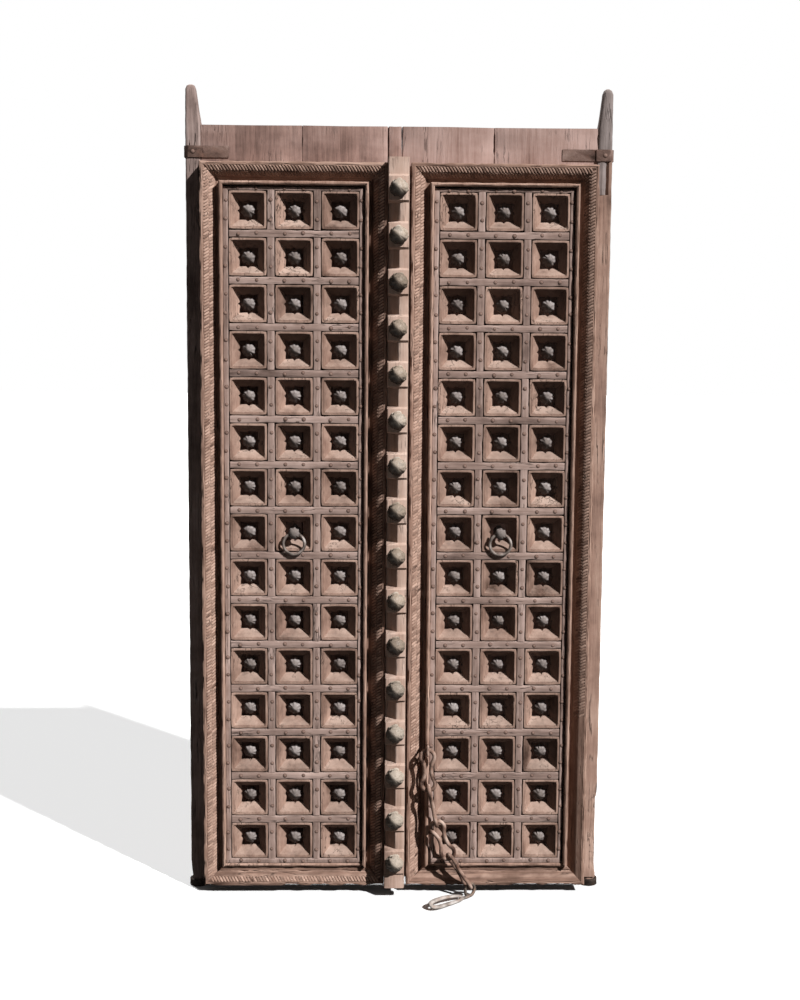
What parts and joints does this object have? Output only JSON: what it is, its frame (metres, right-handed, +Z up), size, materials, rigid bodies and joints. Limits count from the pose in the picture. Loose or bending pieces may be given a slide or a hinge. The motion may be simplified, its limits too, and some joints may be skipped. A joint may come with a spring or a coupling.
{
  "type": "carved temple door",
  "caption": "Pair of planked door leaves on wooden pivots, with a carved border, a coffered lattice of knobs, a bossed cover strip, pull rings and a door chain with a hasp.",
  "frame": {"origin": "on the floor, midway between the two vertical pivot axes", "axes": "+X to the right seen from the front, the carved front faces -Y, +Z up"},
  "size_m": [1.13, 0.2493, 2.159],
  "materials": {
    "carved_teak": "weathered, dusty",
    "plank_teak": "weathered, dry",
    "post_teak": "greyed, hand-hewn",
    "forged_iron": "forged, rusted brown",
    "worn_iron": "worn bright",
    "boss_bronze": "patinated, pale green and white bloom"
  },
  "bodies": {
    "threshold_cups": {"pivot_sockets": "forged_iron"},
    "left_leaf": {"left_back_ledges": "plank_teak", "left_border_bottom": "carved_teak", "left_border_inner": "carved_teak", "left_border_outer": "carved_teak", "left_border_top": "carved_teak", "left_coffer_knobs": "boss_bronze", "left_coffers": "carved_teak", "left_inner_plank": "plank_teak", "left_lattice_battens": "carved_teak", "left_lattice_rails": "carved_teak", "left_lattice_uprights": "carved_teak", "left_meeting_stile": "plank_teak", "left_outer_plank": "plank_teak", "left_pivot_post": "post_teak", "left_pivot_strap": "forged_iron", "left_ridge_moulding": "carved_teak", "left_ring_knob": "boss_bronze", "cover_strip": "carved_teak", "cover_strip_bosses": "boss_bronze"},
    "right_leaf": {"right_back_ledges": "plank_teak", "right_border_bottom": "carved_teak", "right_border_inner": "carved_teak", "right_border_outer": "carved_teak", "right_border_top": "carved_teak", "right_coffer_knobs": "boss_bronze", "right_coffers": "carved_teak", "right_inner_plank": "plank_teak", "right_lattice_battens": "carved_teak", "right_lattice_rails": "carved_teak", "right_lattice_uprights": "carved_teak", "right_outer_plank": "plank_teak", "right_pivot_post": "post_teak", "right_pivot_strap": "forged_iron", "right_ridge_moulding": "carved_teak", "right_ring_knob": "boss_bronze", "right_top_pivot": "post_teak", "chain_staple": "forged_iron"},
    "left_ring": {"left_pull_ring": "forged_iron"},
    "right_ring": {"right_pull_ring": "forged_iron"},
    "chain_link_1": {"chain_link_1": "forged_iron"},
    "chain_link_2": {"chain_link_2": "forged_iron"},
    "chain_link_3": {"chain_link_3": "forged_iron"},
    "chain_link_4": {"chain_link_4": "forged_iron"},
    "chain_hasp": {"chain_hasp": "worn_iron"}
  },
  "joints": [
    {"name": "right_leaf_swing", "type": "hinge", "parent": "threshold_cups", "child": "right_leaf", "pos_m": [0.539, 0, 0], "axis": [0, 0, -1], "range_deg": [0, 95]},
    {"name": "left_leaf_swing", "type": "hinge", "parent": "threshold_cups", "child": "left_leaf", "pos_m": [-0.539, 0, 0], "axis": [0, 0, 1], "range_deg": [0, 81]},
    {"name": "left_ring_lift", "type": "hinge", "parent": "left_leaf", "child": "left_ring", "pos_m": [-0.274, -0.0792, 0.991], "axis": [-1, 0, 0], "range_deg": [0, 90]},
    {"name": "right_ring_lift", "type": "hinge", "parent": "right_leaf", "child": "right_ring", "pos_m": [0.274, -0.0792, 0.991], "axis": [-1, 0, 0], "range_deg": [0, 90]},
    {"name": "chain_link_1_sway", "type": "hinge", "parent": "right_leaf", "child": "chain_link_1", "pos_m": [0.08475, -0.108, 0.39988], "axis": [0, -1, 0], "range_deg": [0, 30]},
    {"name": "chain_link_2_lift", "type": "hinge", "parent": "chain_link_1", "child": "chain_link_2", "pos_m": [0.08828, -0.108, 0.2991], "axis": [-0.9994, 0, -0.035], "range_deg": [0, 40]},
    {"name": "chain_link_3_sway", "type": "hinge", "parent": "chain_link_2", "child": "chain_link_3", "pos_m": [0.11097, -0.108, 0.20198], "axis": [0, -1, 0], "range_deg": [0, 30]},
    {"name": "chain_link_4_lift", "type": "hinge", "parent": "chain_link_3", "child": "chain_link_4", "pos_m": [0.14829, -0.108, 0.1097], "axis": [-0.927, 0, -0.375], "range_deg": [0, 35]},
    {"name": "hasp_lift", "type": "hinge", "parent": "chain_link_4", "child": "chain_hasp", "pos_m": [0.20283, -0.108, 0.0262], "axis": [-0.3177, 0.9272, -0.1985], "range_deg": [0, 30]}
  ],
  "couplings": [
    {"joint": "left_leaf_swing", "follows": "right_leaf_swing", "ratio": 0.85}
  ]
}
